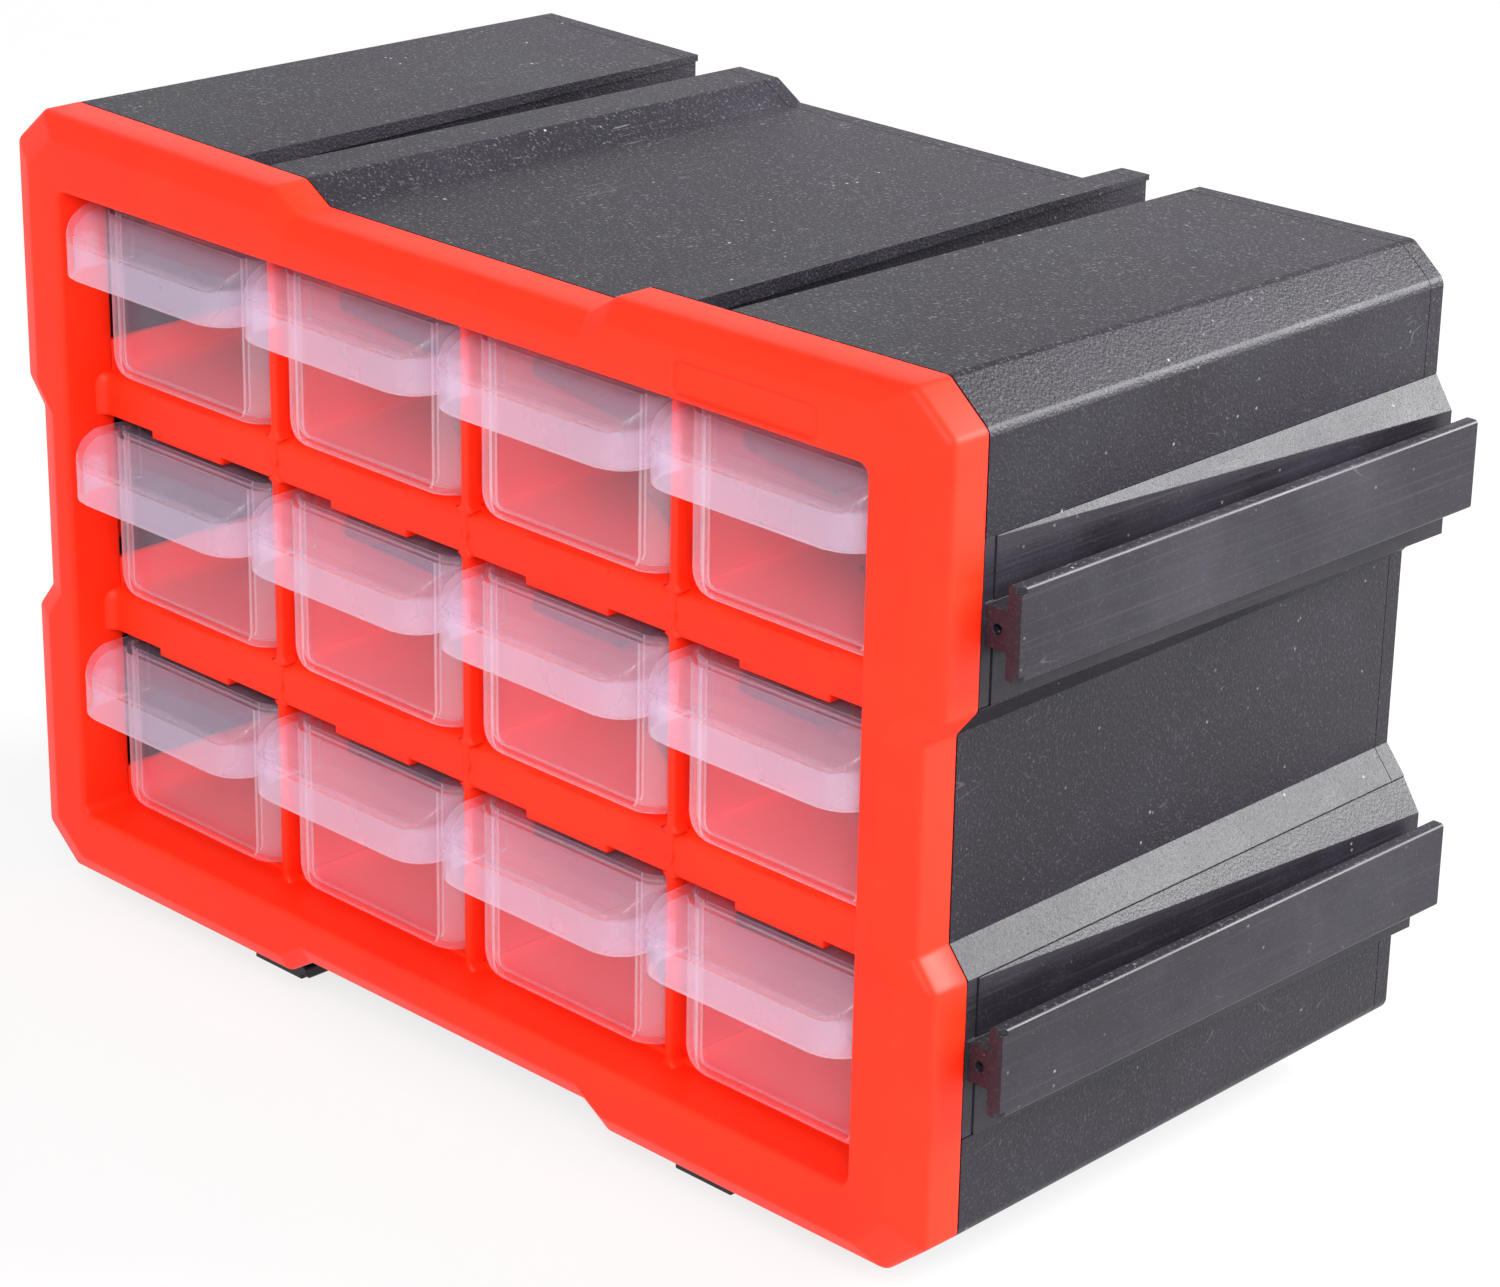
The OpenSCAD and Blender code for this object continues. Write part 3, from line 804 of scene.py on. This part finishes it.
def clear_plastic(name, low, high, tint, hood=0.0, narrow=11.0):
    """Thin milky clear plastic with soft reflections: paler at glancing angles and on the frosted hood."""
    mat, nt, out = material(name)
    obj = coords(nt)
    cloud = noise(nt, obj, 45.0, 3.0, 0.6, 0.5)
    fine = noise(nt, obj, 700.0, 2.0, 0.6)
    normal = bump(nt, plus(nt, cloud, times(nt, fine, 0.12)), 0.15, 0.0004)
    layer = node(nt, "ShaderNodeLayerWeight")
    layer.inputs["Blend"].default_value = 0.5
    facing = layer.outputs["Facing"]
    rise = times(nt, math_node(nt, "POWER", facing, 3.0), 0.10)
    haze = remap(nt, math_node(nt, "POWER", facing, narrow), 0.0, 1.0, low, high)
    haze = plus(nt, haze, rise)
    if hood:
        # object space: the frosted hood stands in front of the tub's face, its flange paler than its roof
        at = split(nt, obj)
        front = (-3.4 + SHIFT[1]) / 1000
        crease = (DRAWER_H - 5.5 + SHIFT[2]) / 1000
        zone = remap(nt, at["Y"], front - 0.0002, front, 1.0, 0.0)
        flange = remap(nt, at["Z"], crease - 0.0003, crease + 0.0003, hood, 0.38 * hood)
        haze = plus(nt, haze, times(nt, zone, flange))
    haze = plus(nt, haze, remap(nt, cloud, 0.3, 0.7, -0.008, 0.012))
    # the haze scatters light forwards, so it hardly darkens what lies behind it
    path = node(nt, "ShaderNodeLightPath")
    passing = math_node(nt, "SUBTRACT", 1.0, times(nt, path.outputs["Is Shadow Ray"], 0.95))
    milk = mix_shader(nt, 0.45, shader(nt, "Diffuse", tint, normal), shader(nt, "Translucent", tint))
    clear = shader(nt, "Transparent", (0.985, 0.975, 0.985))
    body = mix_shader(nt, times(nt, haze, passing), clear, milk)
    shine = shader(nt, "Glossy", normal=normal)
    shine.inputs["Roughness"].default_value = 0.13
    mirror = remap(nt, math_node(nt, "POWER", facing, 5.0), 0.0, 1.0, 0.016, 0.7)
    top = mix_shader(nt, times(nt, mirror, passing), body, shine)
    link(nt, top.outputs[0], out.inputs["Surface"])
    return mat


SHELL = black_plastic("housing_black", (0.0070, 0.0056, 0.0100), (0.020, 0.017, 0.027), 0.41)
RAIL = black_plastic("rail_black", (0.013, 0.0112, 0.0165), (0.044, 0.039, 0.054), 0.36, streaks=True)
RED = red_plastic("grid_red")
CLEAR = clear_plastic("drawer_clear", 0.046, 0.85, (0.86, 0.79, 0.99), 0.225)
# paler copies of the clear plastic that paint the bright highlight lines at the drawers' edges and corners
EDGE_HIGHLIGHT = clear_plastic("drawer_edge_highlight", 0.38, 0.95, (0.98, 0.86, 0.95))
CORNER_HIGHLIGHT = clear_plastic("drawer_corner_highlight", 0.15, 0.95, (0.96, 0.80, 0.93), 0.0, 4.0)


# ------------------------------------------------------------------ pieces
def piece(cad_node, me, mat, body, location=None):
    """One visible piece in the place of a node of the exact frame."""
    ob = add_object(cad_node + "_piece", me)
    if not me.materials:
        me.materials.append(mat)
    if location:
        ob.location = location
    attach(ob, body)
    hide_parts(cad_node)
    return ob


def red_pieces():
    """The frame with its tongues and the top row's tabs, the dividers and the shelves."""
    me = make_mesh("front_frame", *ring_mesh())
    for part in tongue_parts() + tab_parts(0, 6.0):
        me = boolean(me, make_mesh("part", *part), "UNION")
    red = {"front_frame": me}
    for i in (1, 2, 3):
        x = (i - 2) * COL
        me = divider_mesh(x)
        for part in gate_marks(x):
            me = boolean(me, make_mesh("mark", *part), "UNION")
        red[f"divider_{i}"] = me
    for r in range(3):
        red[f"shelf_{r + 1}"] = shelf_mesh(r)
    for name, me in red.items():
        shade(piece(name, tidy(me, 0.3, 1.5e-5), RED, "cabinet"), 40)


def black_pieces():
    """The housing and the four rails."""
    me = housing_mesh()
    weigh(me, 0.2, 20)
    ob = piece("housing", me, SHELL, "cabinet")
    round_edges(ob, 1.6, 3, 30, limit_method="WEIGHT")
    for name, s in RAILS:
        me = rail_mesh(name, s)
        weigh(me, 1.0, 25)
        ob = piece(name, me, RAIL, "cabinet")
        # the sloping edge of the strip has the housing's grain
        me.materials.append(SHELL)
        side = name.startswith("side")
        for f in me.polygons:
            out, up = (f.normal.x, f.normal.z) if side else (-f.normal.z, f.normal.x)
            if 0.3 < out < 0.97 and up > 0.3 and f.area > 2e-5:
                f.material_index = 1
        round_edges(ob, 0.35, 2, 30, weld=True, limit_method="WEIGHT")


def drawer_pieces():
    """Twelve drawers that share one mesh, row 1 on top and column 1 on the left."""
    skin = drawer_mesh()
    # the rounded edges take the paler corner plastic, which paints highlight lines along them
    bevel = {"limit_method": "ANGLE", "angle_limit": math.radians(38), "material": 2}
    for r in range(3):
        for c in range(4):
            name = f"drawer_r{r + 1}c{c + 1}"
            location = (column(c) / 1000, 0, (rim_z(r) - DRAWER_H) / 1000)
            ob = piece(name, skin, CLEAR, name + "_body", location)
            round_edges(ob, 0.3, 2, 40, weld=True, use_clamp_overlap=False, **bevel)


red_pieces()
black_pieces()
drawer_pieces()


# ------------------------------------------------------------------ studio
def seen(nt):
    """1 for what is seen directly, in a reflection or through the clear drawers, 0 for light."""
    path = node(nt, "ShaderNodeLightPath")
    mirrored = math_node(nt, "MAXIMUM", path.outputs["Is Glossy Ray"], path.outputs["Is Transmission Ray"])
    return math_node(nt, "MAXIMUM", path.outputs["Is Camera Ray"], mirrored)


def floor():
    """Pale paper that takes the soft shadow."""
    half = 3.0
    me = bpy.data.meshes.new("floor")
    corners = [(-half, -half, 0), (half, -half, 0), (half, half, 0), (-half, half, 0)]
    me.from_pydata(corners, [], [(0, 1, 2, 3)])
    ob = add_object("floor", me)
    mat, nt, out = material("floor_paper")
    paper = shader(nt, "Diffuse")
    grain = noise(nt, coords(nt), 40.0, 2.0)
    link(nt, mix_colour(nt, grain, (0.80, 0.80, 0.80), (0.82, 0.82, 0.82)), paper.inputs["Color"])
    glow = node(nt, "ShaderNodeEmission")
    shown = seen(nt)
    link(nt, shown, glow.inputs["Strength"])
    # pure white further out, so that no horizon shows
    reach = node(nt, "ShaderNodeVectorMath", operation="LENGTH")
    link(nt, coords(nt), reach.inputs[0])
    white = remap(nt, reach.outputs["Value"], 0.35, 1.1, 0.78, 1.0)
    mix = mix_shader(nt, times(nt, shown, white), paper, glow)
    link(nt, mix.outputs[0], out.inputs["Surface"])
    me.materials.append(mat)


def world():
    """White where it is seen, a plain level where it lights the object."""
    studio = bpy.data.worlds.new("studio")
    bpy.context.scene.world = studio
    studio.use_nodes = True
    nt = studio.node_tree
    nt.nodes.clear()
    out = nt.nodes.new("ShaderNodeOutputWorld")
    bg = node(nt, "ShaderNodeBackground")
    bg.inputs["Color"].default_value = (1, 1, 1, 1)
    link(nt, remap(nt, seen(nt), 0, 1, 0.45, 1.0), bg.inputs["Strength"])
    link(nt, bg.outputs[0], out.inputs["Surface"])


def lamp(name, place_at, target, size, power):
    """A square lamp in metres and watts, turned to its target and hidden from the camera."""
    data = bpy.data.lights.new(name, "AREA")
    data.shape, data.size, data.energy = "SQUARE", size, power
    ob = bpy.data.objects.new(name, data)
    bpy.context.scene.collection.objects.link(ob)
    ob.location = place_at
    ob.rotation_euler = (Vector(target) - Vector(place_at)).to_track_quat("-Z", "Y").to_euler()
    ob.visible_camera = False


LENS, SENSOR = 102.80, 36.0
EYE = (564.35, -503.02, 303.78)
AZIMUTH, ELEVATION, ROLL = 44.344, 21.857, 1.052


def camera():
    """The camera of the photograph."""
    data = bpy.data.cameras.new("camera")
    data.sensor_fit, data.sensor_width, data.lens = "HORIZONTAL", SENSOR, LENS
    data.clip_start, data.clip_end = 0.05, 20
    ob = bpy.data.objects.new("camera", data)
    bpy.context.scene.collection.objects.link(ob)
    az, el, roll = (math.radians(x) for x in (AZIMUTH, ELEVATION, ROLL))
    fwd = Vector((-math.sin(az) * math.cos(el), math.cos(az) * math.cos(el), -math.sin(el)))
    right = fwd.cross(Vector((0, 0, 1))).normalized()
    up = right.cross(fwd)
    r2 = right * math.cos(roll) + up * math.sin(roll)
    u2 = -right * math.sin(roll) + up * math.cos(roll)
    m = Matrix((r2, u2, -fwd)).transposed().to_4x4()
    m.translation = Vector(to_row(EYE)[0])
    ob.matrix_world = m
    bpy.context.scene.camera = ob


floor()
world()
MIDDLE = (0, 0, 0.08)
lamp("key", (0.76, -1.05, 1.02), MIDDLE, 0.8, 25)
lamp("fill", (-0.65, -1.25, 0.50), MIDDLE, 0.9, 2)
lamp("rim", (0.86, 0.98, 0.76), (0, 0.02, 0.09), 0.8, 48)
camera()
scene = bpy.context.scene
scene.view_settings.view_transform = "Standard"
scene.cycles.transparent_max_bounces = 40
